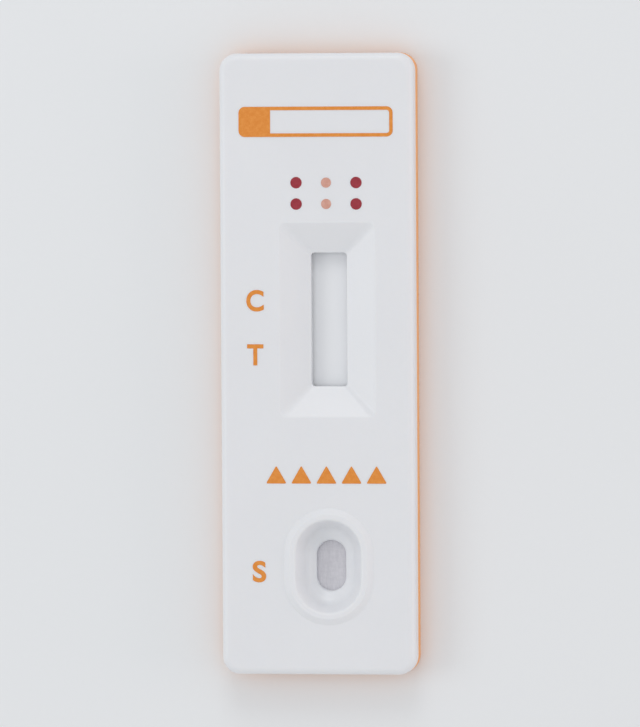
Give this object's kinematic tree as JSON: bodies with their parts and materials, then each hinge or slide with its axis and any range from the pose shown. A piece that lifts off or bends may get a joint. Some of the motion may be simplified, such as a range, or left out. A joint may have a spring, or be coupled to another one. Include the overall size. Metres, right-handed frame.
{
  "type": "lateral flow cassette",
  "caption": "Flat moulded test cassette: a white cover with a bevelled result window and an oval sample well, pressed onto an orange tray that holds a laminated test strip.",
  "frame": {"origin": "middle of the underside, with the cassette lying on its back", "axes": "+Z out of the printed face, +Y along the case away from the sample well, +X to the right when the face is read with the sample well at the bottom"},
  "size_m": [0.022, 0.07, 0.0054],
  "materials": {
    "cover_plastic": "satin moulded, cool white",
    "base_plastic": "satin moulded, orange",
    "card_plastic": "smooth sheet, white",
    "membrane": "fine matt membrane, white",
    "conjugate_fibre": "glass fibre pad, faint pink",
    "sample_fibre": "fibre pad, pale grey",
    "absorbent_fibre": "thick paper pad, off white",
    "mark_ink": "pad-printed ink, orange",
    "dot_ink": "pad-printed ink, maroon",
    "pale_dot_ink": "pad-printed ink, pale tan"
  },
  "bodies": {
    "root": {"top_cover": "cover_plastic", "base": "base_plastic", "backing_card": "card_plastic", "nitrocellulose_membrane": "membrane", "conjugate_pad": "conjugate_fibre", "sample_pad": "sample_fibre", "absorbent_pad": "absorbent_fibre"}
  },
  "joints": []
}
